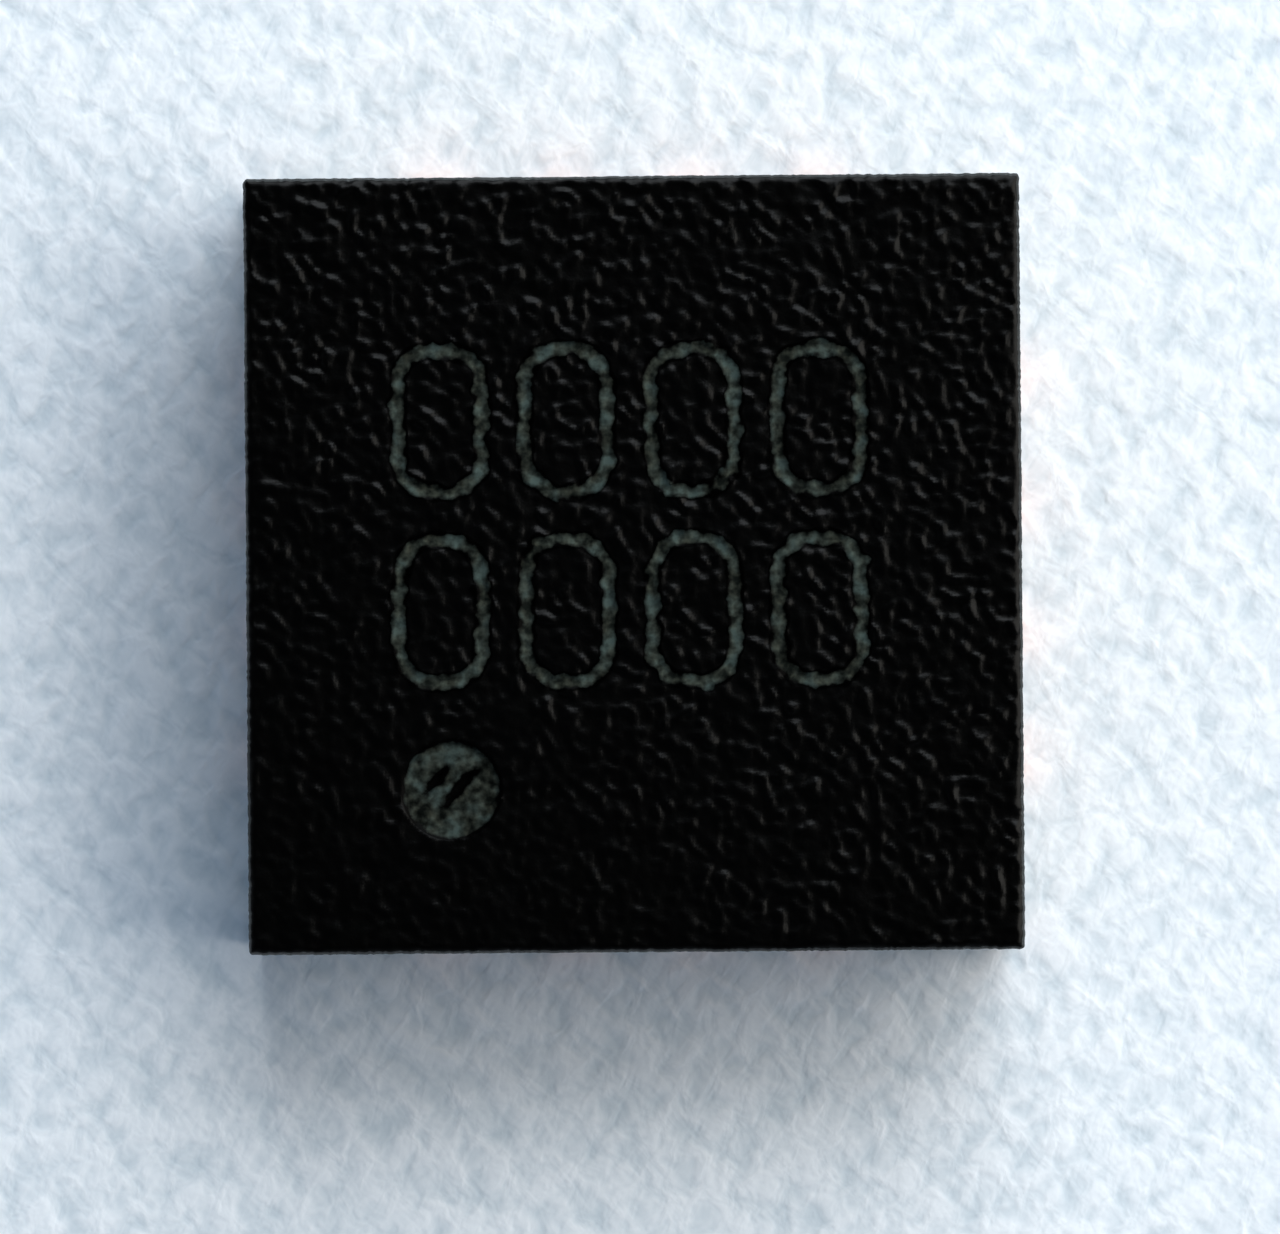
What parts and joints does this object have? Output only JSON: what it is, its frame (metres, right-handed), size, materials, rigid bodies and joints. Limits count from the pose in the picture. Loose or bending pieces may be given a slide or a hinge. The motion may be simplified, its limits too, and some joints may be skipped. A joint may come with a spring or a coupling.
{
  "type": "voltage regulator chip",
  "caption": "Square black surface-mount regulator chip in a sawn no-lead package, with solder lands and a thermal pad below and a round pin one mark on top.",
  "frame": {"origin": "middle of the solder plane, which the thermal pad and the sixteen lands lie in", "axes": "+Z out of the marked face; seen from above with the pin one mark at the lower left, +X to the right and +Y up"},
  "size_m": [0.003, 0.003, 0.0009],
  "materials": {
    "mould_compound": "matte",
    "copper_leadframe": "satin",
    "silver_epoxy": "satin",
    "silicon": "polished",
    "gold_wire": "polished"
  },
  "bodies": {
    "root": {"mould_body": "mould_compound", "die_paddle": "copper_leadframe", "die_attach": "silver_epoxy", "silicon_die": "silicon", "lead_01": "copper_leadframe", "lead_02": "copper_leadframe", "lead_03": "copper_leadframe", "lead_04": "copper_leadframe", "lead_05": "copper_leadframe", "lead_06": "copper_leadframe", "lead_07": "copper_leadframe", "lead_08": "copper_leadframe", "lead_09": "copper_leadframe", "lead_10": "copper_leadframe", "lead_11": "copper_leadframe", "lead_12": "copper_leadframe", "lead_13": "copper_leadframe", "lead_14": "copper_leadframe", "lead_15": "copper_leadframe", "lead_16": "copper_leadframe", "bond_wire_01": "gold_wire", "bond_wire_02": "gold_wire", "bond_wire_03": "gold_wire", "bond_wire_04": "gold_wire", "bond_wire_05": "gold_wire", "bond_wire_06": "gold_wire", "bond_wire_07": "gold_wire", "bond_wire_08": "gold_wire", "bond_wire_09": "gold_wire", "bond_wire_10": "gold_wire", "bond_wire_11": "gold_wire", "bond_wire_12": "gold_wire", "bond_wire_13": "gold_wire", "bond_wire_14": "gold_wire", "bond_wire_15": "gold_wire", "bond_wire_16": "gold_wire"}
  },
  "joints": []
}
